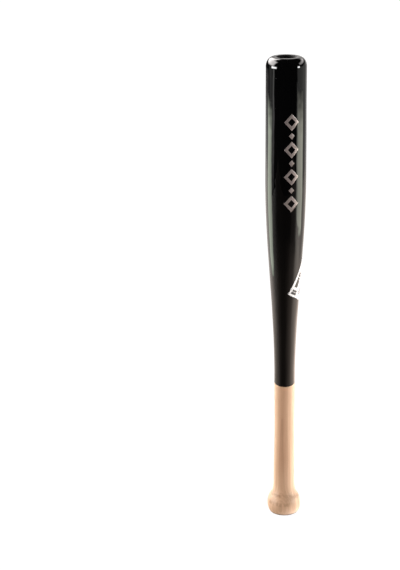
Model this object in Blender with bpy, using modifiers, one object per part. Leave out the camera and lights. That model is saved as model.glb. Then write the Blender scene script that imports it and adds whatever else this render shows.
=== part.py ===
"""A turned wooden baseball bat, 61 cm long, standing on its knob with the barrel up.

One wood billet holds the whole shape. A black lacquer coat covers its barrel, taper and cupped end,
a clear varnish coat covers its handle and knob, seven foil diamonds are printed down the barrel, and
a paper price label is stuck round the taper. Metres, +Z up, origin at the centre of the knob's base.
"""

import math

import bmesh
import bpy
from mathutils import Matrix, Vector

# Finished outline, from the knob's base up to the barrel's end.
LENGTH = 0.610
KNOB_RADIUS = 0.0220
KNOB_LENGTH = 0.0440
KNOB_ROUND_WIDTH = 0.0085
KNOB_LOWER_ROUND = 0.0140
KNOB_UPPER_ROUND = 0.0160
KNOB_SHOULDER_SWEEP = math.radians(57)
BASE_INSET = 0.0030
HANDLE_FOOT_RADIUS = 0.0138
WAIST_HEIGHT = 0.125
WAIST_RADIUS = 0.0129
THROAT_HEIGHT = 0.195
THROAT_RADIUS = 0.0133
BARREL_LENGTH = 0.153
BARREL_RADIUS = 0.0255
BARREL_END_RADIUS = 0.0250
END_ROUND_WIDTH = 0.0092
END_ROUND_HEIGHT = 0.0118
RIM_WIDTH = 0.0028
LIP_ROUND = 0.0020
CUP_DEPTH = 0.0105

# Coats on the wood, and the height at which black lacquer gives way to clear varnish.
COAT_WALL = 0.0003
CLEARANCE = 0.0003
PAINT_LINE_HEIGHT = 0.183

# Foil print, in a row down the barrel, turned a little to the right of its front.
FOIL_WALL = 0.0002
PRINT_TOP_BELOW_END = 0.065
PRINT_AZIMUTH = math.radians(16)
LARGE_DIAMONDS = 4
LARGE_DIAMOND_LENGTH = 0.0210
LARGE_DIAMOND_WIDTH = 0.0190
LARGE_DIAMOND_STROKE = 0.0036
SMALL_DIAMOND_LENGTH = 0.0080
SMALL_DIAMOND_WIDTH = 0.0072
DIAMOND_GAP = 0.0025

# Paper price label: where its left corner is, and how far its long side leans from upright.
LABEL_LENGTH = 0.050
LABEL_WIDTH = 0.030
LABEL_THICKNESS = 0.0002
LABEL_CORNER_BELOW_END = 0.298
LABEL_CORNER_AZIMUTH = math.radians(11)
LABEL_LEAN = math.radians(28)
LABEL_CELL = 0.003

# Mesh fineness.
TURNING_STEPS = 40
HANDLE_STEPS = 5
BARREL_STEPS = 22
ROUND_STEPS = 4
END_ROUND_STEPS = 6
PRINT_STEPS = 8
MERGE_DISTANCE = 0.00001

BASE_RADIUS = KNOB_RADIUS - BASE_INSET
KNOB_CORE_RADIUS = KNOB_RADIUS - KNOB_ROUND_WIDTH
CREST_RADIUS = BARREL_END_RADIUS - END_ROUND_WIDTH
CUP_RADIUS = CREST_RADIUS - RIM_WIDTH
END_ROUND_FOOT = LENGTH - END_ROUND_HEIGHT

# Heights and radii that the handle, taper and barrel ease between, each with an upright tangent.
STATIONS = (
    (KNOB_LENGTH, HANDLE_FOOT_RADIUS),
    (WAIST_HEIGHT, WAIST_RADIUS),
    (THROAT_HEIGHT, THROAT_RADIUS),
    (LENGTH - BARREL_LENGTH, BARREL_RADIUS),
    (END_ROUND_FOOT, BARREL_END_RADIUS),
)


# ---------------------------------------------------------------- outline


def spread(low, high, steps):
    """Evenly spaced values from low to high, both included."""
    return [low + (high - low) * step / steps for step in range(steps + 1)]


def direction(angle):
    return Vector((math.cos(angle), math.sin(angle)))


def body_radius(height):
    """Radius of the finished surface between the knob and the end rounding."""
    for (low, low_radius), (high, high_radius) in zip(STATIONS, STATIONS[1:]):
        if height <= high:
            break
    share = min(1.0, (height - low) / (high - low))
    return low_radius + (high_radius - low_radius) * share * share * (3 - 2 * share)


def body_outline(low, high, steps):
    return [Vector((body_radius(height), height)) for height in spread(low, high, steps)]


def knob_outline():
    """(radius, height) points from the base's edge round the knob and up its flare to the handle."""
    base_angle = math.acos((BASE_RADIUS - KNOB_CORE_RADIUS) / KNOB_ROUND_WIDTH)
    widest_height = KNOB_LOWER_ROUND * math.sin(base_angle)
    core = Vector((KNOB_CORE_RADIUS, widest_height))
    lower = Vector((KNOB_ROUND_WIDTH, KNOB_LOWER_ROUND))
    upper = Vector((KNOB_ROUND_WIDTH, KNOB_UPPER_ROUND))
    points = [core + lower * direction(angle) for angle in spread(-base_angle, 0.0, ROUND_STEPS)]
    for angle in spread(0.0, KNOB_SHOULDER_SWEEP, ROUND_STEPS)[1:]:
        points.append(core + upper * direction(angle))

    # The flare bends from the knob's shoulder, along its tangent, to the handle's upright side.
    shoulder = points[-1]
    foot = Vector((HANDLE_FOOT_RADIUS, KNOB_LENGTH))
    tangent = upper * direction(KNOB_SHOULDER_SWEEP + math.pi / 2)
    bend = shoulder + tangent * (foot.x - shoulder.x) / tangent.x
    for share in spread(0.0, 1.0, ROUND_STEPS)[1:]:
        rest = 1 - share
        points.append(shoulder * rest**2 + bend * 2 * share * rest + foot * share**2)
    return points


def end_outline():
    """From the end rounding's foot over the flat rim and the lip, and down the cup to its centre."""
    core = Vector((CREST_RADIUS, END_ROUND_FOOT))
    rounding = Vector((END_ROUND_WIDTH, END_ROUND_HEIGHT))
    points = []
    for angle in spread(0.0, math.pi / 2, END_ROUND_STEPS)[1:]:
        points.append(core + rounding * direction(angle))

    # The cup is a dish whose arc meets the lip's arc on a shared tangent.
    dish_radius = (CUP_RADIUS**2 + CUP_DEPTH**2) / (2 * CUP_DEPTH) - LIP_ROUND
    dish_centre = Vector((0.0, LENGTH - CUP_DEPTH + dish_radius))
    lip_centre = Vector((CUP_RADIUS, LENGTH - LIP_ROUND))
    rise = math.atan2(dish_centre.y - lip_centre.y, CUP_RADIUS)
    for angle in spread(math.pi / 2, math.pi - rise, ROUND_STEPS):
        points.append(lip_centre + LIP_ROUND * direction(angle))
    for angle in spread(-rise, -math.pi / 2, ROUND_STEPS)[1:]:
        points.append(dish_centre + dish_radius * direction(angle))
    points[-1].x = 0.0
    return points


def inset(outline, depth):
    """The outline moved into the wood by depth, or out of it where depth is negative."""
    moved = []
    for place, point in enumerate(outline):
        before = outline[max(place - 1, 0)]
        after = outline[min(place + 1, len(outline) - 1)]
        if point.x == 0.0:
            after = Vector((-before.x, before.y))
        along = (after - before).normalized()
        moved.append(point + depth * Vector((-along.y, along.x)))
    return moved


def end_at(outline, height):
    """Slides the outline's first point along its first stretch to the given height."""
    first, second = outline[:2]
    outline[0] = first + (second - first) * (height - first.y) / (second.y - first.y)


# ---------------------------------------------------------------- Blender helpers


def clear_scene():
    for obj in list(bpy.data.objects):
        bpy.data.objects.remove(obj)


def new_collection(name):
    collection = bpy.data.collections.new(name)
    bpy.context.scene.collection.children.link(collection)
    return collection


def new_material(name, colour, roughness, alpha=1.0):
    material = bpy.data.materials.new(name)
    material.use_nodes = True
    shader = material.node_tree.nodes["Principled BSDF"]
    shader.inputs["Base Color"].default_value = (*colour, 1.0)
    shader.inputs["Roughness"].default_value = roughness
    shader.inputs["Metallic"].default_value = 0.0
    shader.inputs["Alpha"].default_value = alpha
    return material


def add_object(name, data, collection, material=None):
    obj = bpy.data.objects.new(name, data)
    collection.objects.link(obj)
    if material:
        data.materials.append(material)
    return obj


def mark_as_cutter(obj):
    obj.hide_render = True
    obj.display_type = "WIRE"


def turned(name, profile, closed, collection, material=None):
    """A profile of (radius, height) points, run down its outer side, turned round the bat's axis."""
    mesh = bpy.data.meshes.new(name)
    edges = [(place, place + 1) for place in range(len(profile) - 1)]
    if closed:
        edges.append((len(profile) - 1, 0))
    mesh.from_pydata([(point.x, 0.0, point.y) for point in profile], edges, [])
    obj = add_object(name, mesh, collection, material)
    screw = obj.modifiers.new("Turning", "SCREW")
    screw.steps = TURNING_STEPS
    screw.render_steps = TURNING_STEPS
    screw.use_merge_vertices = True
    screw.merge_threshold = MERGE_DISTANCE
    screw.use_smooth_shade = True
    return obj


def mesh_from_curve(obj, material):
    """Replaces a curve object by a mesh object of the same name and place, with its caps welded."""
    graph = bpy.context.evaluated_depsgraph_get()
    mesh = bpy.data.meshes.new_from_object(obj.evaluated_get(graph))
    welding = bmesh.new()
    welding.from_mesh(mesh)
    bmesh.ops.remove_doubles(welding, verts=welding.verts, dist=MERGE_DISTANCE)
    welding.to_mesh(mesh)
    welding.free()
    name = obj.name
    matrix = obj.matrix_world.copy()
    collection = obj.users_collection[0]
    bpy.data.objects.remove(obj)
    solid = add_object(name, mesh, collection, material)
    solid.matrix_world = matrix
    return solid


# ---------------------------------------------------------------- wood and its two coats


def make_wood_and_coats(collection):
    """The billet and the coats on it, all from one outline, so that their walls stay parallel."""
    below_line = knob_outline()
    below_line += body_outline(KNOB_LENGTH, PAINT_LINE_HEIGHT - CLEARANCE, HANDLE_STEPS)[1:]
    above_line = body_outline(PAINT_LINE_HEIGHT, END_ROUND_FOOT, BARREL_STEPS) + end_outline()
    surface = below_line + above_line
    coat_back = inset(surface, COAT_WALL)
    wood = inset(surface, COAT_WALL + CLEARANCE)
    line = len(below_line)

    end_at(wood, 0.0)
    base_centre = Vector((0.0, 0.0))
    pale_wood = new_material("pale_wood", (0.66, 0.45, 0.28), 0.45)
    turned("wood_billet", wood[::-1] + [base_centre], False, collection, pale_wood)

    # The barrel's coat starts and ends on the axis, in the cup, so its profile stays open there.
    black = new_material("black_lacquer", (0.006, 0.006, 0.007), 0.08)
    barrel_coat = surface[line:][::-1] + coat_back[line:]
    turned("barrel_lacquer", barrel_coat, False, collection, black)

    # The handle's coat ends just above the floor, and the bat rests on the bare wood of its base.
    end_at(surface, CLEARANCE)
    end_at(coat_back, CLEARANCE)
    clear = new_material("clear_varnish", (0.92, 0.84, 0.70), 0.12, alpha=0.25)
    handle_coat = surface[:line][::-1] + coat_back[:line]
    turned("handle_varnish", handle_coat, True, collection, clear)


# ---------------------------------------------------------------- foil print


def make_foil_sleeve(low, high, collection):
    """A turned sleeve one foil wall thick, just clear of the lacquer, that trims each diamond."""
    surface = body_outline(low, high, PRINT_STEPS)
    outside = inset(surface, -CLEARANCE - FOIL_WALL)
    inside = inset(surface, -CLEARANCE)
    sleeve = turned("foil_sleeve", outside[::-1] + inside, True, collection)
    mark_as_cutter(sleeve)
    return sleeve


def add_diamond_spline(curve, length, width):
    spline = curve.splines.new("POLY")
    corners = ((0.0, length / 2), (width / 2, 0.0), (0.0, -length / 2), (-width / 2, 0.0))
    spline.points.add(len(corners) - 1)
    for point, (across, up) in zip(spline.points, corners):
        point.co = (across, up, 0.0, 1.0)
    spline.use_cyclic_u = True


def make_diamond(name, height, length, width, stroke, sleeve, collection, material):
    """A foil diamond centred at height on the print's azimuth, hollow where it has a stroke."""
    curve = bpy.data.curves.new(name, "CURVE")
    curve.dimensions = "2D"
    curve.fill_mode = "BOTH"
    curve.extrude = BARREL_RADIUS / 2
    add_diamond_spline(curve, length, width)
    if stroke:
        inner = 1 - 2 * stroke * math.hypot(length, width) / (length * width)
        add_diamond_spline(curve, length * inner, width * inner)
    obj = add_object(name, curve, collection)
    across = Vector((math.cos(PRINT_AZIMUTH), math.sin(PRINT_AZIMUTH), 0.0))
    up = Vector((0.0, 0.0, 1.0))
    outward = across.cross(up)
    turn = Matrix((across, up, outward)).transposed().to_4x4()
    obj.matrix_world = Matrix.Translation(outward * BARREL_RADIUS + up * height) @ turn
    bpy.context.view_layer.update()
    solid = mesh_from_curve(obj, material)
    trim = solid.modifiers.new("Wrap to the barrel", "BOOLEAN")
    trim.operation = "INTERSECT"
    trim.solver = "EXACT"
    trim.object = sleeve


def make_print(collection, cutters):
    """Large hollow diamonds down the barrel, with a small solid one between each two."""
    foil = new_material("grey_foil", (0.23, 0.20, 0.20), 0.35)
    top = LENGTH - PRINT_TOP_BELOW_END
    pitch = LARGE_DIAMOND_LENGTH + SMALL_DIAMOND_LENGTH + 2 * DIAMOND_GAP
    bottom = top - LARGE_DIAMOND_LENGTH - (LARGE_DIAMONDS - 1) * pitch
    sleeve = make_foil_sleeve(bottom - DIAMOND_GAP, top + DIAMOND_GAP, cutters)
    for place in range(LARGE_DIAMONDS):
        height = top - LARGE_DIAMOND_LENGTH / 2 - place * pitch
        make_diamond(
            f"print_diamond_{place + 1}", height, LARGE_DIAMOND_LENGTH, LARGE_DIAMOND_WIDTH,
            LARGE_DIAMOND_STROKE, sleeve, collection, foil,
        )
    for place in range(LARGE_DIAMONDS - 1):
        height = top - LARGE_DIAMOND_LENGTH / 2 - (place + 0.5) * pitch
        make_diamond(
            f"print_spacer_{place + 1}", height, SMALL_DIAMOND_LENGTH, SMALL_DIAMOND_WIDTH,
            0.0, sleeve, collection, foil,
        )


# ---------------------------------------------------------------- label


def make_label(collection):
    """A flat paper rectangle, leaned over about its left corner and rolled round the taper."""
    sheet = bmesh.new()
    bmesh.ops.create_grid(
        sheet,
        x_segments=round(LABEL_WIDTH / LABEL_CELL),
        y_segments=round(LABEL_LENGTH / LABEL_CELL),
        size=0.5,
    )
    across_side = Vector((math.cos(LABEL_LEAN), -math.sin(LABEL_LEAN))) * LABEL_WIDTH
    long_side = Vector((math.sin(LABEL_LEAN), math.cos(LABEL_LEAN))) * LABEL_LENGTH
    corner_height = LENGTH - LABEL_CORNER_BELOW_END
    middle_height = corner_height + (across_side.y + long_side.y) / 2
    rolling_radius = body_radius(middle_height)
    for vertex in sheet.verts:
        flat = across_side * (vertex.co.x + 0.5) + long_side * (vertex.co.y + 0.5)
        height = corner_height + flat.y
        azimuth = LABEL_CORNER_AZIMUTH + flat.x / rolling_radius
        radius = body_radius(height) + CLEARANCE
        vertex.co = (radius * math.sin(azimuth), -radius * math.cos(azimuth), height)
    mesh = bpy.data.meshes.new("price_label")
    sheet.to_mesh(mesh)
    sheet.free()
    mesh.shade_smooth()
    paper = new_material("label_paper", (0.86, 0.83, 0.80), 0.6)
    label = add_object("price_label", mesh, collection, paper)
    wall = label.modifiers.new("Paper", "SOLIDIFY")
    wall.thickness = LABEL_THICKNESS
    wall.offset = 1.0


def main():
    clear_scene()
    bat = new_collection("baseball_bat")
    cutters = new_collection("cutters")
    make_wood_and_coats(bat)
    make_print(bat, cutters)
    make_label(bat)


main()
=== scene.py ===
"""The finished look of a turned wooden baseball bat that stands on its knob, barrel up.

The sections follow the bat as it is made: the turned billet, the dipped lacquer, the foil print and
the price label. The floor, the lights and the camera come last. Metres, +Z up, front towards -Y.
"""

import math

import bpy
from mathutils import Matrix, Vector, noise


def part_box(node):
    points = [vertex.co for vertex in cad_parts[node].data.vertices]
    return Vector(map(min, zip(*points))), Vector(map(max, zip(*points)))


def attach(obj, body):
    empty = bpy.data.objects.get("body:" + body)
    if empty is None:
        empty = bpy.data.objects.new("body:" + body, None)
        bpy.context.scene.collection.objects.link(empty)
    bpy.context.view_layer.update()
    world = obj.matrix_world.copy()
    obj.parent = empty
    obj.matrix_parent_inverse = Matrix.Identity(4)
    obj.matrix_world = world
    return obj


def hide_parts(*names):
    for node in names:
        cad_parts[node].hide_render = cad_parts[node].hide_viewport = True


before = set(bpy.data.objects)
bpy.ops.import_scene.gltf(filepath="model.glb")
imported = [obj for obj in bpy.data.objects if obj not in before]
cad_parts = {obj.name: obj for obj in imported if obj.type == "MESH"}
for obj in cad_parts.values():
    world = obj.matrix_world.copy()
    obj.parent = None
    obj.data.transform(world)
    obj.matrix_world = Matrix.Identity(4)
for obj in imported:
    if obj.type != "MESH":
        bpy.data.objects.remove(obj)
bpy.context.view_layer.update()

# ---------------------------------------------------------------- turned billet
# One straight-grained beech blank, turned between centres to the whole shape and sanded. The handle
# and knob stay pale under brushed varnish, with the turner's lines on them, and the base is bare.

coat_low, coat_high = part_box("barrel_lacquer")
paint_line = coat_low.z
length = coat_high.z
barrel_radius = coat_high.x
coat_wall = 0.0003

knob_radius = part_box("handle_varnish")[1].x
knob_core_radius = knob_radius - 0.0085
knob_lower_round = 0.0140
knob_upper_round = 0.0160
knob_sweep = math.radians(57)
knob_top = 0.0440
base_radius = knob_radius - 0.0030
handle_foot_radius = 0.0138

end_round_width = 0.0092
end_round_height = 0.0118
stations = (
    # height, radius
    (knob_top, handle_foot_radius),
    (0.125, 0.0129),
    (0.195, 0.0133),
    (length - 0.153, barrel_radius),
    (length - end_round_height, barrel_radius - 0.0005),
)
end_foot, end_radius = stations[-1]
crest_radius = end_radius - end_round_width
rim_width = 0.0028
cup_radius = crest_radius - rim_width
cup_depth = 0.0105
lip_round = 0.0020


def spread(low, high, steps):
    """Evenly spaced values from low to high, both included."""
    return [low + (high - low) * step / steps for step in range(steps + 1)]


def direction(angle):
    return Vector((math.cos(angle), math.sin(angle)))


def body_radius(height):
    """Radius of the finished surface between the knob and the end rounding."""
    for (low, low_radius), (high, high_radius) in zip(stations, stations[1:]):
        if height <= high:
            break
    share = min(1.0, max(0.0, (height - low) / (high - low)))
    return low_radius + (high_radius - low_radius) * share * share * (3 - 2 * share)


def body_outline(low, high, step):
    heights = spread(low, high, max(1, round((high - low) / step)))
    return [Vector((body_radius(height), height)) for height in heights]


def knob_outline():
    """From the base's edge round the knob and up its flare to the handle."""
    base_angle = math.acos((base_radius - knob_core_radius) / (knob_radius - knob_core_radius))
    core = Vector((knob_core_radius, knob_lower_round * math.sin(base_angle)))
    lower = Vector((knob_radius - knob_core_radius, knob_lower_round))
    upper = Vector((knob_radius - knob_core_radius, knob_upper_round))
    points = [core + lower * direction(angle) for angle in spread(-base_angle, 0.0, 24)]
    points += [core + upper * direction(angle) for angle in spread(0.0, knob_sweep, 30)[1:]]
    shoulder = points[-1]
    foot = Vector((handle_foot_radius, knob_top))
    tangent = upper * direction(knob_sweep + math.pi / 2)
    bend = shoulder + tangent * (foot.x - shoulder.x) / tangent.x
    for share in spread(0.0, 1.0, 40)[1:]:
        rest = 1 - share
        points.append(shoulder * rest**2 + bend * 2 * share * rest + foot * share**2)
    return points


def end_outline():
    """From the end rounding's foot over the flat rim and the lip, and down the cup to its centre."""
    core = Vector((crest_radius, end_foot))
    rounding = Vector((end_round_width, end_round_height))
    points = [core + rounding * direction(angle) for angle in spread(0.0, math.pi / 2, 40)[1:]]
    points += [Vector((crest_radius - rim_width * share, length)) for share in (0.25, 0.5, 0.75)]
    dish_radius = (cup_radius**2 + cup_depth**2) / (2 * cup_depth) - lip_round
    dish_centre = Vector((0.0, length - cup_depth + dish_radius))
    lip_centre = Vector((cup_radius, length - lip_round))
    dip = math.atan2(dish_centre.y - lip_centre.y, cup_radius)
    for angle in spread(math.pi / 2, math.pi - dip, 16):
        points.append(lip_centre + lip_round * direction(angle))
    for angle in spread(-dip, -math.pi / 2, 30)[1:]:
        points.append(dish_centre + dish_radius * direction(angle))
    points[-1].x = 0.0
    return points


def outward(outline):
    """The direction away from the wood at each point of an outline that runs upwards."""
    sides = []
    for count, point in enumerate(outline):
        before = outline[max(count - 1, 0)]
        after = outline[min(count + 1, len(outline) - 1)]
        along = (after - before).normalized()
        sides.append(Vector((along.y, -along.x)))
    return sides


edge_climb = 0.0025
climb_reach = 0.012


def dip_climb(azimuth, height):
    """How far the lacquer's edge, with the wood beside it, climbs round the sides of the handle."""
    near = max(0.0, 1 - abs(height - paint_line) / climb_reach)
    return edge_climb * (1 - math.cos(azimuth)) * near


def made_piece(name, places, faces):
    """A smooth mesh object, linked into the scene."""
    mesh = bpy.data.meshes.new(name)
    mesh.from_pydata(places, [], faces)
    mesh.shade_smooth()
    piece = bpy.data.objects.new(name, mesh)
    bpy.context.scene.collection.objects.link(piece)
    return piece


def turned(name, outline, steps, relief):
    """An outline turned round the bat's axis, with each point moved out by relief(azimuth, height)."""
    places = []
    for point, side in zip(outline, outward(outline)):
        for step in range(steps):
            azimuth = math.tau * step / steps
            moved = point + side * relief(azimuth, point.y)
            moved.y += dip_climb(azimuth, point.y)
            places.append((moved.x * math.sin(azimuth), -moved.x * math.cos(azimuth), moved.y))
    faces = []
    for row in range(len(outline) - 1):
        for step in range(steps):
            following = (step + 1) % steps
            low, high = row * steps, (row + 1) * steps
            faces.append((low + step, low + following, high + following, high + step))
    return made_piece(name, places, faces)


scribed_lines = (
    # height, half width, depth
    (0.0268, 0.0007, 0.00022),
    (0.0163, 0.0006, 0.00012),
    (0.1788, 0.0004, 0.00010),
)
sanding_depth = 0.00005
sanding_start = 0.005


def turning_relief(azimuth, height):
    """The turner's scribed lines and the faint unevenness that sanding leaves along the grain."""
    around = Vector((math.sin(azimuth), math.cos(azimuth), height * 9))
    depth = sanding_depth * noise.noise(around * 3) * min(1.0, height / sanding_start)
    for line, half_width, cut in scribed_lines:
        off = abs(height - line) / half_width
        if off < 1:
            depth -= cut * (1 - off * off) ** 2
    return depth


class Wire:
    """One output of a shader node. Arithmetic on it, from either side, adds Math nodes."""

    def __init__(self, tree, socket=None):
        self.tree = tree
        self.socket = socket

    def node(self, kind, settings=None, sockets=None):
        """Adds a node of any kind: its settings first, then the values or wires of its sockets."""
        made = self.tree.nodes.new(kind)
        for setting, value in (settings or {}).items():
            if setting == "stops":
                ramp = made.color_ramp
                ramp.elements[0].position = value[0][0]
                ramp.elements[1].position = value[-1][0]
                for position, _ in value[1:-1]:
                    ramp.elements.new(position)
                for stop, (_, colour) in zip(ramp.elements, value):
                    stop.color = (*colour, 1.0)
            else:
                setattr(made, setting, value)
        for socket, value in (sockets or {}).items():
            entry = made.inputs[socket]
            if isinstance(value, Wire):
                self.tree.links.new(value.socket, entry)
            else:
                entry.default_value = value
        shown = [output for output in made.outputs if output.enabled]
        return Wire(self.tree, shown[0] if shown else None)

    def output(self, name):
        return Wire(self.tree, self.socket.node.outputs[name])

    def math(self, operation, first, second=0.0, clamp=False):
        settings = {"operation": operation, "use_clamp": clamp}
        return self.node("ShaderNodeMath", settings, {0: first, 1: second})

    def __add__(self, other):
        return self.math("ADD", self, other)

    __radd__ = __add__

    def __sub__(self, other):
        return self.math("SUBTRACT", self, other)

    def __rsub__(self, other):
        return self.math("SUBTRACT", other, self)

    def __mul__(self, other):
        return self.math("MULTIPLY", self, other)

    __rmul__ = __mul__

    def __truediv__(self, other):
        return self.math("DIVIDE", self, other)

    def __gt__(self, other):
        return self.math("GREATER_THAN", self, other)

    def __lt__(self, other):
        return self.math("LESS_THAN", self, other)

    def power(self, other):
        return self.math("POWER", self, other)

    def held(self):
        """The value held between 0 and 1."""
        return self.math("ADD", self, 0.0, clamp=True)

    def fraction(self):
        return self.math("FRACT", self)

    def own_place(self):
        """The point of the surface, in the object's own metres."""
        return self.node("ShaderNodeTexCoord").output("Object")

    def part(self, axis):
        """The X, Y or Z of a place or direction."""
        return self.node("ShaderNodeSeparateXYZ", {}, {0: self}).output(axis)

    def vector(self, operation, first, second):
        return self.node("ShaderNodeVectorMath", {"operation": operation}, {0: first, 1: second})

    def scaled(self, factors):
        """A place stretched by a factor on each axis."""
        return self.vector("MULTIPLY", self, factors)

    def mixed(self, low, high):
        """A colour between low and high, by this value."""
        colours = {}
        for entry, colour in ((6, low), (7, high)):
            colours[entry] = colour if isinstance(colour, Wire) else (*colour, 1.0)
        settings = {"data_type": "RGBA", "clamp_factor": True}
        return self.node("ShaderNodeMix", settings, {0: self, **colours})

    def noise(self, place, scale, detail=2.0, roughness=0.5):
        """Smooth noise at a place, from about 0.25 to 0.75."""
        sockets = {"Vector": place, "Scale": scale, "Detail": detail, "Roughness": roughness}
        return self.node("ShaderNodeTexNoise", {"noise_dimensions": "3D"}, sockets)

    def bump(self, strength, distance):
        sockets = {"Height": self, "Strength": strength, "Distance": distance}
        return self.node("ShaderNodeBump", {}, sockets)


def new_finish(name):
    """An empty material, and the wire that its nodes are added from."""
    material = bpy.data.materials.new(name)
    material.use_nodes = True
    material.node_tree.nodes.clear()
    return material, Wire(material.node_tree)


def surface(wire, sockets):
    """A Principled surface as the material's output."""
    shader = wire.node("ShaderNodeBsdfPrincipled", {}, sockets)
    wire.node("ShaderNodeOutputMaterial", {}, {"Surface": shader})


pith = (-0.014, -0.062)
pith_lean = (0.010, -0.005)
heart_radius = 0.0495
heart_fade = 0.0080
heart_foot = 0.030
heart_rise = 0.050
ring_width = 0.0023
late_wood_share = 0.26
sap_colour = (0.98, 0.70, 0.46)
heart_colour = (0.45, 0.22, 0.11)
streak_colour = (0.62, 0.36, 0.22)
ring_colour = (0.36, 0.18, 0.10)
fibre_colour = (0.50, 0.29, 0.17)
scribed_line_shade = (0.26, 0.105, 0.04)
crease_height = 0.0264
crease_spread = 0.0000045
groove_height = 0.0163
groove_spread = 0.0000090
foot_contact_shade = (0.12, 0.075, 0.045)
foot_contact_shade_height = 0.0022
bare_base_height = 0.0005

beech, wire = new_finish("varnished_beech")
place = wire.own_place()
height = place.part("Z")
across = place.part("X") - pith[0] - height * pith_lean[0]
depth = place.part("Y") - pith[1] - height * pith_lean[1]
wander = wire.noise(place.scaled((1.0, 1.0, 0.18)), 60.0, 3.0)
from_pith = (across * across + depth * depth).power(0.5) + (wander - 0.5) * 0.004
late_wood = (from_pith / ring_width).fraction().power(3.0)

# Darker heartwood shows on one side, and fades towards the knob.
heartwood = 1 - ((from_pith - heart_radius) / heart_fade).held()
heartwood = heartwood * (0.42 + ((height - heart_foot) / heart_rise).held() * 0.50)
pale = heartwood.mixed(sap_colour, heart_colour)

fibre = wire.noise(place.scaled((1.0, 1.0, 0.02)), 1500.0, 3.0, 0.6)
streak = wire.noise(place.scaled((1.0, 1.0, 0.035)), 330.0, 2.0)
fleck = ((wire.noise(place.scaled((1.0, 1.0, 0.16)), 1000.0, 1.0) - 0.64) * 9).held()
streaked = ((streak - 0.42) * 3.2).held().mixed(streak_colour, pale)
blend = wire.node("ShaderNodeMix", {"data_type": "RGBA"}, {0: 0.65, 6: pale, 7: streaked})
ringed = (late_wood * late_wood_share + fleck * 0.18).mixed(blend, ring_colour)
grained = ((fibre - 0.5) * 0.80 + 0.14).held().mixed(ringed, fibre_colour)

# Painted shade darkens the knob's two scribed lines, in patches on the left, and its foot.
left_side = (0.85 - place.part("X") * 60).held()
patchy = ((wire.noise(place.scaled((1.0, 1.0, 0.4)), 260.0, 3.0) - 0.32) * 2.8).held() * left_side
crease = 1 - ((height - crease_height).power(2.0) / crease_spread).held()
groove = 1 - ((height - groove_height).power(2.0) / groove_spread).held()
# Painted shade in the scribed lines: a dark band at each line's height, patchy and only on the left.
shaded_grain = ((crease * 0.60 + groove * 0.55) * patchy).mixed(grained, scribed_line_shade)
# Painted contact shade: the knob's wood darkens within a few millimetres of the floor.
foot_shade = 1 - (height / foot_contact_shade_height).held()
shaded_grain = (foot_shade * 1.3).held().mixed(shaded_grain, foot_contact_shade)

varnished = height > bare_base_height
surface(wire, {
    "Base Color": shaded_grain,
    "Roughness": 0.62 - varnished * 0.12 + (fibre - 0.5) * 0.2,
    "Coat Weight": varnished * 0.35,
    "Coat Roughness": 0.30,
    "Normal": (fibre * 0.5 + late_wood * 0.5 + fleck).bump(0.25, 0.0001),
})

# The pale wood runs a little way under the lacquer, and the covered wood is a coat's wall smaller.
fine_start = paint_line - 0.0065
pale_end = paint_line + 0.0005
covered_start = paint_line + 0.002
billet_outline = [Vector((share * base_radius, 0.0)) for share in spread(0.0, 0.96, 6)]
billet_outline += knob_outline()
billet_outline += body_outline(knob_top, fine_start, 0.003)[1:]
billet_outline += body_outline(fine_start, pale_end, 0.0002)[1:]
covered = body_outline(covered_start, end_foot, 0.004) + end_outline()
billet_outline += [point - side * coat_wall for point, side in zip(covered, outward(covered))]
billet_outline[-1].x = 0.0

billet = turned("turned_billet", billet_outline, 144, turning_relief)
billet.data.materials.append(beech)
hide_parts("wood_billet", "handle_varnish")
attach(billet, "root")

# ---------------------------------------------------------------- black lacquer
# High-gloss black lacquer, dipped from the barrel's end down to the paint line. It fills most of
# the grain, draws down in long shallow waves, and ends in a rounded bead. In the cup the bare end
# grain drinks it and dries matt.

bead_width = 0.0006
bead_rise = 0.00008
bead_blend = 2.5
wave_depth = 0.00011
ripple_depth = 0.000028
thin_coat_height = 0.26
thin_coat_fade = 0.08


def lacquer_relief(azimuth, height):
    """Long waves along the grain, short ripples round the barrel, and the bead at the edge."""
    around = Vector((math.sin(azimuth), math.cos(azimuth), 0.0))
    wave = noise.noise(around * 2.6 + Vector((0.0, 0.0, height * 34)))
    ripple = noise.noise(around * 6.0 + Vector((5.0, 2.0, height * 150)))
    depth = wave_depth * wave + ripple_depth * ripple
    above_edge = (height - paint_line) / bead_width
    if above_edge < bead_blend:
        bead = bead_rise * math.exp(-((above_edge - 1) ** 2))
        depth = bead + depth * max(0.0, above_edge) / bead_blend
    return depth


lacquer_outline = []
for angle in spread(0.0, math.pi / 2, 6)[:-1]:
    edge_radius = body_radius(paint_line) - coat_wall * math.cos(angle)
    lacquer_outline.append(Vector((edge_radius, paint_line + coat_wall * (1 - math.sin(angle)))))
lacquer_outline += body_outline(paint_line + coat_wall, paint_line + 0.004, 0.0002)
lacquer_outline += body_outline(paint_line + 0.004, end_foot, 0.002)[1:]
lacquer_outline += end_outline()

black, wire = new_finish("black_gloss_lacquer")
place = wire.own_place()
telegraph = wire.noise(place.scaled((1.0, 1.0, 0.03)), 420.0, 2.0)
specks = ((wire.noise(place, 900.0, 1.0) - 0.70) * 12).held()
haze = wire.noise(place.scaled((1.0, 1.0, 0.4)), 35.0, 3.0)
thin_coat = 1 - ((place.part("Z") - thin_coat_height) / thin_coat_fade).held()
darkness = haze * 0.6 + specks * 0.4
surface(wire, {
    "Base Color": darkness.mixed((0.0003, 0.0003, 0.0004), (0.0016, 0.0014, 0.0013)),
    "Roughness": 0.008 + haze * 0.014 + thin_coat * 0.08 + specks * 0.15,
    "Normal": (telegraph + specks * 0.4).bump(0.22, 0.0001),
})

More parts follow.
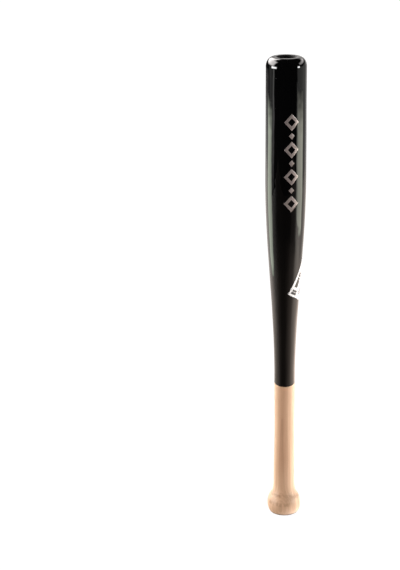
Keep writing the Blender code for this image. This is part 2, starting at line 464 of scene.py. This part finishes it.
soaked, wire = new_finish("soaked_end_grain")
pores = wire.noise(wire.own_place().scaled((1.0, 1.0, 0.05)), 1600.0, 2.0)
surface(wire, {
    "Base Color": pores.mixed((0.0010, 0.0010, 0.0011), (0.0060, 0.0055, 0.0050)),
    "Roughness": 0.55 + pores * 0.3,
    "Specular IOR Level": 0.12,
    "Normal": pores.bump(0.3, 0.0001),
})

lacquer = turned("barrel_lacquer_coat", lacquer_outline, 180, lacquer_relief)
lacquer.data.materials.append(black)
lacquer.data.materials.append(soaked)
soaked_radius = cup_radius - 0.0004
for face in lacquer.data.polygons:
    face.material_index = 1 if math.hypot(face.center.x, face.center.y) < soaked_radius else 0
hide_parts("barrel_lacquer")
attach(lacquer, "root")

# ---------------------------------------------------------------- foil print
# A row of diamonds stamped down the barrel in one pass of rose-grey foil: four hollow ones with a
# small solid one between each two. The foil is thinner than paper, and its rim beds into the coat.

print_azimuth = math.radians(16)
foil_height = 0.00006
foil_bedding = 0.00002
foil_rim = 0.00015
raggedness = 0.00007
large_low, large_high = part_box("print_diamond_1")
large_length = large_high.z - large_low.z
large_width = 0.0190
stroke = 0.0036
small_low, small_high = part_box("print_spacer_1")
small_length = small_high.z - small_low.z
small_width = 0.0072


def on_lacquer(azimuth, height, lift):
    """The place a given lift above the lacquer."""
    radius = body_radius(height) + lacquer_relief(azimuth, height) + lift
    return (radius * math.sin(azimuth), -radius * math.cos(azimuth), height)


def diamond_line(long, wide, steps):
    """Points round a diamond's outline, from its top."""
    top, right = Vector((0.0, long / 2)), Vector((wide / 2, 0.0))
    points = []
    for corner, following in ((top, right), (right, -top), (-top, -right), (-right, top)):
        points += [corner.lerp(following, step / steps) for step in range(steps)]
    return points


def foil_mark(name, height, long, wide, line):
    """A diamond drawn with a line of foil, rolled on to the barrel. With no line it is solid."""
    outer = diamond_line(long, wide, 14)
    scale = 1 - 2 * line * math.hypot(long, wide) / (long * wide) if line else 0.0
    rim = foil_rim / (line if line else math.hypot(long, wide) / 4)
    shares = [0.0, rim] + spread(rim, 1 - rim, 8)[1:-1] + ([1 - rim, 1.0] if line else [1.0])
    places = []
    for row, share in enumerate(shares):
        bedded = row == 0 or (line and row == len(shares) - 1)
        for point in outer:
            ragged = raggedness * noise.noise(Vector((point.x, point.y, height)) * 2500)
            spot = point * (1 + share * (scale - 1) + (ragged / long if bedded else 0.0))
            azimuth = print_azimuth + spot.x / barrel_radius
            lift = -foil_bedding if bedded else foil_height
            places.append(on_lacquer(azimuth, height + spot.y, lift))
    around = len(outer)
    faces = []
    for row in range(len(shares) - 1):
        for step in range(around):
            following = (step + 1) % around
            low, high = row * around, (row + 1) * around
            faces.append((low + step, high + step, high + following, low + following))
    return made_piece(name, places, faces)


foil, wire = new_finish("rose_grey_foil")
place = wire.own_place()
brushed = wire.noise(place.scaled((1.0, 1.0, 0.15)), 1200.0, 2.0)
worn = ((wire.noise(place, 700.0, 3.0, 0.65) - 0.60) * 9).held()
tarnish = ((wire.noise(place, 90.0, 2.0) - 0.3) * 1.6).held()
foil_colour = tarnish.mixed((0.36, 0.305, 0.29), (0.47, 0.40, 0.375))
surface(wire, {
    "Base Color": (worn * 0.75).mixed(foil_colour, (0.03, 0.028, 0.027)),
    "Metallic": 0.60 - worn * 0.50,
    "Roughness": 0.38 + brushed * 0.12,
    "Coat Weight": 0.9 - worn * 0.2,
    "Coat Roughness": 0.06,
    "Normal": (brushed - worn * 0.6).bump(0.12, 0.0001),
})

marks = [("diamond", count, large_length, large_width, stroke) for count in range(1, 5)]
marks += [("spacer", count, small_length, small_width, 0.0) for count in range(1, 4)]
for kind, count, long, wide, line in marks:
    stamped = f"print_{kind}_{count}"
    lowest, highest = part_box(stamped)
    mark = foil_mark(f"foil_{kind}_{count}", (lowest.z + highest.z) / 2, long, wide, line)
    mark.data.materials.append(foil)
    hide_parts(stamped)
    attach(mark, "root")

# ---------------------------------------------------------------- price label
# A glossy white paper sticker, cut square and rolled by hand round the taper at a slant. One far
# corner has lifted. It carries plain printed bars, and no words.

label_length = 0.050
label_width = 0.030
label_thickness = 0.0001
label_corner_height = length - 0.298
label_corner_azimuth = math.radians(11)
label_lean = math.radians(28)
label_cell = 0.001
glue_height = 0.00006
corner_lift = 0.0016
corner_start = 1.55
near_lift = 0.00012
near_reach = 0.10
edge_lift = 0.00004
edge_reach = 0.04
paper_wave = 0.00003

across_side = Vector((math.cos(label_lean), -math.sin(label_lean))) * label_width
long_side = Vector((math.sin(label_lean), math.cos(label_lean))) * label_length
rolling_radius = body_radius(label_corner_height + (across_side.y + long_side.y) / 2)


def label_place(across, along):
    """Where a point of the flat label, given as shares of its sides, lies on the taper."""
    flat = across_side * across + long_side * along
    azimuth = label_corner_azimuth + flat.x / rolling_radius
    far_corner = max(0.0, across + along - corner_start) / (2 - corner_start)
    near_corner = max(0.0, near_reach - across - along) / near_reach
    edge = max(0.0, edge_reach - min(across, 1 - across, along, 1 - along)) / edge_reach
    lift = glue_height + corner_lift * far_corner**2 + near_lift * near_corner + edge_lift * edge
    lift += paper_wave * noise.noise(Vector((across * 3, along * 5, 1.0)))
    return on_lacquer(azimuth, label_corner_height + flat.y, lift)


columns = round(label_width / label_cell)
rows = round(label_length / label_cell)
grid = [(column / columns, row / rows) for row in range(rows + 1) for column in range(columns + 1)]
faces = []
for row in range(rows):
    for column in range(columns):
        low = row * (columns + 1) + column
        high = low + columns + 1
        faces.append((low, low + 1, high + 1, high))
label = made_piece("price_sticker", [label_place(*spot) for spot in grid], faces)
sheet_map = label.data.uv_layers.new(name="sheet")
for loop, corner in zip(label.data.loops, sheet_map.data):
    corner.uv = grid[loop.vertex_index]
wall = label.modifiers.new("Paper", "SOLIDIFY")
wall.thickness = label_thickness
wall.offset = 1.0

paper, wire = new_finish("printed_label_paper")
sheet = wire.node("ShaderNodeUVMap", {"uv_map": "sheet"})
across = sheet.part("X") * label_width
along = sheet.part("Y") * label_length


def between(value, low, high):
    """1 where the value lies between low and high, and 0 elsewhere."""
    return (value > low) * (value < high)


def bars(run, other, run_range, other_range, pitch, filled):
    """A strip of uneven bars set side by side along the run."""
    sockets = {"W": run / pitch, "Scale": 1.0, "Detail": 1.0}
    uneven = wire.node("ShaderNodeTexNoise", {"noise_dimensions": "1D"}, sockets)
    return (uneven > 1 - filled) * between(run, *run_range) * between(other, *other_range)


side_strip = bars(along, across, (0.0125, 0.0320), (0.0038, 0.0092), 0.0018, 0.70)
corner_strip = bars(across, along, (0.0030, 0.0118), (0.0027, 0.0057), 0.0018, 0.80)
second_strip = bars(across, along, (0.0036, 0.0112), (0.0063, 0.0090), 0.0017, 0.76)
code_strip = bars(along, across, (0.0060, 0.0450), (0.0150, 0.0250), 0.00045, 0.50)
ink = (side_strip + corner_strip + second_strip + code_strip).held()
flat_place = sheet.scaled((label_width, label_length, 1.0))
paper_fibre = wire.noise(flat_place, 2500.0, 3.0)
crinkle = wire.noise(flat_place, 160.0, 2.0)
blank = (paper_fibre * 0.6).mixed((0.86, 0.84, 0.83), (0.76, 0.73, 0.72))
surface(wire, {
    "Base Color": (ink * 0.98).mixed(blank, (0.010, 0.009, 0.009)),
    "Roughness": 0.42 + paper_fibre * 0.15 - ink * 0.1,
    "Coat Weight": 0.25,
    "Coat Roughness": 0.25,
    "Normal": (paper_fibre * 0.3 + crinkle).bump(0.15, 0.0002),
})
label.data.materials.append(paper)
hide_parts("price_label")
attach(label, "root")

# ---------------------------------------------------------------- pale floor
# The plain pale table that the bat stands on, evenly lit to near white. Only the camera sees it:
# the bat's gloss has the table sheen instead, and its matt parts have the room's low panels.

scene = bpy.context.scene
scene.view_settings.view_transform = "Standard"


def flat_square(half, level):
    return [(-half, -half, level), (half, -half, level), (half, half, level), (-half, half, level)]


floor = made_piece("floor", flat_square(8.0, 0.0), [(0, 1, 2, 3)])
pale_floor, wire = new_finish("pale_floor")
mottle = wire.noise(wire.own_place(), 3.0, 2.0)
surface(wire, {
    "Base Color": mottle.mixed((0.07, 0.07, 0.07), (0.08, 0.08, 0.08)),
    "Roughness": 0.9,
    "Specular IOR Level": 0.0,
    "Emission Color": (1.0, 1.0, 1.0, 1.0),
    "Emission Strength": 0.97,
})
floor.data.materials.append(pale_floor)
floor.visible_glossy = False
floor.visible_diffuse = False

# ---------------------------------------------------------------- studio room
# Soft panels far off at both sides and behind, two small lamps at lens height, and darkness in
# front, so that the gloss has a black middle and bright edges. Behind the bat all is white.

room = bpy.data.worlds.new("studio_room")
scene.world = room
room.use_nodes = True
room.node_tree.nodes.clear()
wire = Wire(room.node_tree)
towards = wire.node("ShaderNodeTexCoord").output("Generated")
east = towards.part("X")
azimuth = wire.math("ARCTAN2", east, 0 - towards.part("Y")) * math.degrees(1)
elevation = wire.math("ARCSINE", towards.part("Z")) * math.degrees(1)


def window(value, low, high, low_edge, high_edge):
    """1 between low and high, easing to 0 over an edge centred on each."""
    opening = ((value - low) / low_edge + 0.5).held()
    closing = ((high - value) / high_edge + 0.5).held()
    return opening * closing


panels = (
    # azimuths from, to; elevations from, to; soft edges; brightness; tint
    (-90, -58, -4.5, 9.0, 4.0, 3.0, 22.0, (1.00, 1.00, 1.00)),
    (-81, -70, -14.0, -4.0, 3.0, 5.0, 1.3, (1.00, 0.98, 0.96)),
    (66, 79, 0.0, 11.0, 3.0, 3.0, 24.0, (1.00, 1.00, 1.00)),
    (-165, -80, 13.0, 50.0, 12.0, 9.0, 10.5, (1.00, 0.96, 0.94)),
    (86, 158, 19.0, 33.0, 8.0, 7.0, 3.6, (1.00, 0.94, 0.93)),
    (160, 200, 8.0, 32.0, 12.0, 6.0, 0.8, (1.00, 0.97, 0.94)),
    (-200, -160, 8.0, 32.0, 12.0, 6.0, 0.8, (1.00, 0.97, 0.94)),
    (-108, -84, -26.0, 6.0, 8.0, 5.0, 0.35, (1.00, 1.00, 0.96)),
    (66, 114, -26.0, 4.0, 8.0, 5.0, 0.5, (1.00, 1.00, 0.96)),
    (112, 200, -26.0, 8.0, 10.0, 6.0, 0.42, (1.00, 0.97, 0.95)),
    (136, 200, -26.0, 8.0, 16.0, 6.0, 0.45, (1.00, 0.97, 0.95)),
    (-200, -116, -26.0, -11.5, 8.0, 3.0, 0.80, (1.00, 0.97, 0.95)),
    (15, 140, -80.0, -33.0, 40.0, 6.0, 8.5, (1.00, 0.97, 0.95)),
    (-110, 30, -80.0, -33.0, 40.0, 6.0, 1.3, (1.00, 0.97, 0.95)),
)
light = wire.node("ShaderNodeCombineXYZ", {}, {0: 0.020, 1: 0.020, 2: 0.021})
for az_low, az_high, el_low, el_high, az_edge, el_edge, brightness, tint in panels:
    lit = window(azimuth, az_low, az_high, az_edge, az_edge)
    lit = lit * window(elevation, el_low, el_high, el_edge, el_edge) * brightness
    glow = wire.node("ShaderNodeCombineXYZ", {}, {axis: lit * part for axis, part in enumerate(tint)})
    light = wire.vector("ADD", light, glow)

# Matt wood and paper are lit more from the right than the gloss shows.
share = 0.62 + east * 0.48
balance = wire.node("ShaderNodeCombineXYZ", {}, {0: share, 1: share, 2: share})
fill = window(azimuth, 10, 110, 40, 40) * window(elevation, 0, 70, 30, 30)
fill = wire.node("ShaderNodeCombineXYZ", {}, {0: fill, 1: fill * 0.94, 2: fill * 0.88})
balanced = wire.vector("ADD", wire.vector("MULTIPLY", light, balance), fill)
ray = wire.node("ShaderNodeLightPath")
light = ray.output("Is Diffuse Ray").mixed(light, balanced)
seen = ray.output("Is Camera Ray").mixed(light, (1.0, 1.0, 1.0))
background = wire.node("ShaderNodeBackground", {}, {"Color": seen, "Strength": 1.0})
wire.node("ShaderNodeOutputWorld", {}, {"Surface": background})

# ---------------------------------------------------------------- light cards
# A pale standing card at each side of the bat, for the long pale strip down each side of its gloss.
# They glow a little green, fade at both edges and at the top, and nothing but the gloss sees them.


def light_sheet(name, corners, finish, glow, brightness):
    """A glowing sheet that only the bat's gloss can see."""
    surface(glow, {
        "Base Color": (0.0, 0.0, 0.0, 1.0),
        "Emission Color": glow,
        "Emission Strength": brightness,
    })
    sheet = made_piece(name, corners, [(0, 1, 2, 3)])
    sheet.data.materials.append(finish)
    sheet.visible_camera = False
    sheet.visible_diffuse = False
    sheet.visible_shadow = False


side_cards = (
    # name; x; y from, to; soft edges of both; foot; top and its soft edge; brightness; tint
    ("left_card", -0.65, -0.05, 0.35, 0.12, 0.10, 0.050, 0.404, 0.045, 4.8, (0.92, 1.00, 0.82)),
    ("right_card", 1.00, -0.43, 0.29, 0.24, 0.14, 0.008, 0.335, 0.08, 4.6, (1.00, 1.00, 0.84)),
)
for name, x, y_low, y_high, low_edge, high_edge, foot, top, top_edge, brightness, tint in side_cards:
    card_finish, wire = new_finish(name + "_glow")
    place = wire.own_place()
    z = place.part("Z")
    lit = window(place.part("Y"), y_low, y_high, low_edge, high_edge)
    lit = lit * ((top - z) / top_edge + 0.5).held() * (0.4 + (z - foot) / 0.03).held()
    glow = lit.mixed((0.06, 0.06, 0.06), tint)
    low, high = y_low - low_edge / 2, y_high + high_edge / 2
    highest = top + top_edge / 2
    corners = [(x, low, foot), (x, high, foot), (x, high, highest), (x, low, highest)]
    light_sheet(name, corners, card_finish, glow, brightness)

# ---------------------------------------------------------------- table sheen
# What the gloss sees of the table that the bat stands on: dark straight in front of the bat, and
# bright at its sides and behind. The matt surfaces and the camera don't see it.

sheen_strength = 4.0
sheen_half = 1.5
sheen_level = -0.001
sheen_near_reach = 0.45
sheen_near_fade = 0.5
near_sheen = (
    # azimuth, brightness under half a metre out
    (-180, 0.35), (-165, 0.45), (-150, 0.60), (-130, 0.90), (-110, 1.06), (-90, 0.88), (-70, 0.52),
    (-50, 0.28), (-30, 0.11), (0, 0.11), (15, 0.22), (30, 0.48), (50, 0.84), (70, 1.45), (90, 1.80),
    (105, 2.40), (120, 3.20), (135, 3.50), (150, 2.60), (165, 1.20), (180, 0.35),
)
near_warmth = (1.12, 0.90, 0.76)
far_sheen = (
    # azimuth, brightness about a metre out
    (-180, 0.45), (-150, 0.60), (-130, 0.90), (-116, 1.20), (-96, 1.10), (-88, 0.45), (-80, 0.22),
    (-70, 0.15), (-55, 0.06), (0, 0.04), (28, 0.05), (34, 0.13), (55, 0.20), (62, 0.35), (72, 1.40),
    (82, 1.95), (92, 2.00), (104, 1.30), (120, 0.75), (135, 0.90), (150, 1.05), (165, 1.00),
    (180, 0.60),
)
far_warmth = (1.06, 0.94, 0.84)

sheen_finish, wire = new_finish("table_sheen_glow")
place = wire.own_place()
x = place.part("X")
y = place.part("Y")
turn = wire.math("ARCTAN2", x, 0 - y) / math.tau + 0.5
rings = []
for sheen, warmth in ((near_sheen, near_warmth), (far_sheen, far_warmth)):
    stops = [
        ((azimuth + 180) / 360, [glow * part / sheen_strength for part in warmth])
        for azimuth, glow in sheen
    ]
    rings.append(wire.node("ShaderNodeValToRGB", {"stops": stops}, {0: turn}))
distance = (x * x + y * y).power(0.5)
glow = ((distance - sheen_near_reach) / sheen_near_fade).held().mixed(*rings)
light_sheet("table_sheen", flat_square(sheen_half, sheen_level), sheen_finish, glow, sheen_strength)

# ---------------------------------------------------------------- camera
# A long lens a little under two metres off, looking down at the bat and turned to its left.

camera_distance = 1.7165
camera_height = 0.9127
camera_yaw = math.radians(3.617)
camera_pitch = math.radians(19.08)
camera_roll = math.radians(-0.847)

lens = bpy.data.cameras.new("studio_camera")
lens.lens = 89.98
lens.sensor_width = 36.0
lens.clip_end = 50.0
camera = bpy.data.objects.new("studio_camera", lens)
scene.collection.objects.link(camera)
camera.matrix_world = (
    Matrix.Translation((0.0, -camera_distance, camera_height))
    @ Matrix.Rotation(camera_yaw, 4, "Z")
    @ Matrix.Rotation(math.pi / 2 - camera_pitch, 4, "X")
    @ Matrix.Rotation(camera_roll, 4, "Z")
)
scene.camera = camera
